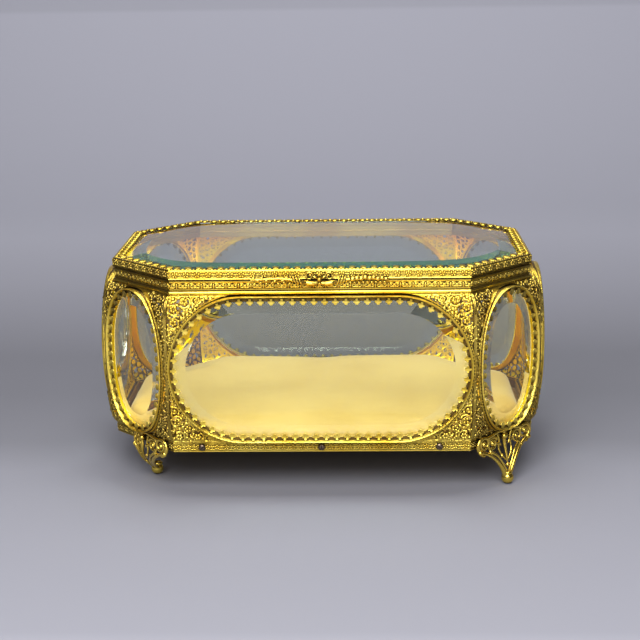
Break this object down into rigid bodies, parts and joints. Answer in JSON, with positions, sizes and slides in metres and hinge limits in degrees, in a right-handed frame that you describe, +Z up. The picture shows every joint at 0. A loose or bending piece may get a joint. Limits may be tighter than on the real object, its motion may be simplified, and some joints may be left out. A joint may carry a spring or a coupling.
{
  "type": "trinket casket",
  "caption": "Eight-sided gilt casket with bevelled glass windows in pierced, swollen side panels, a hinged glass lid, a cream pad inside and ball-toed feet.",
  "frame": {"origin": "centre of the bounding box at its bottom, on the surface that the four ball toes stand on", "axes": "+X along the long side to the right, +Z up, and the front with the thumb lift faces -Y"},
  "size_m": [0.2064, 0.1354, 0.1054],
  "materials": {
    "gilt_brass": "polished gilt with dark patina in the recesses",
    "aged_brass": "dull gilt",
    "bevelled_glass": "clear, polished",
    "cream_satin": "pale buttery satin",
    "dark_steel": "dark bronzed"
  },
  "bodies": {
    "case": {"panel_front": "gilt_brass", "glass_front": "bevelled_glass", "panel_front_right": "gilt_brass", "glass_front_right": "bevelled_glass", "panel_right": "gilt_brass", "glass_right": "bevelled_glass", "panel_rear_right": "gilt_brass", "glass_rear_right": "bevelled_glass", "panel_rear": "gilt_brass", "glass_rear": "bevelled_glass", "panel_rear_left": "gilt_brass", "glass_rear_left": "bevelled_glass", "panel_left": "gilt_brass", "glass_left": "bevelled_glass", "panel_front_left": "gilt_brass", "glass_front_left": "bevelled_glass", "base_band": "gilt_brass", "base_pan": "aged_brass", "cushion": "cream_satin", "upper_rim": "gilt_brass", "hinge_leaf_case": "aged_brass", "hinge_pin": "dark_steel", "foot_front_right": "gilt_brass", "foot_rear_right": "gilt_brass", "foot_rear_left": "gilt_brass", "foot_front_left": "gilt_brass", "screw_front_left": "dark_steel", "screw_front_middle": "dark_steel", "screw_front_right": "dark_steel", "screw_rear_left": "dark_steel", "screw_rear_middle": "dark_steel", "screw_rear_right": "dark_steel"},
    "lid": {"lid_frame": "gilt_brass", "lid_glass": "bevelled_glass", "thumb_lift": "gilt_brass", "hinge_leaf_lid": "aged_brass"}
  },
  "joints": [
    {"name": "lid_hinge", "type": "hinge", "parent": "case", "child": "lid", "pos_m": [0, 0.0632, 0.1003], "axis": [-1, 0, 0], "range_deg": [0, 105]}
  ]
}
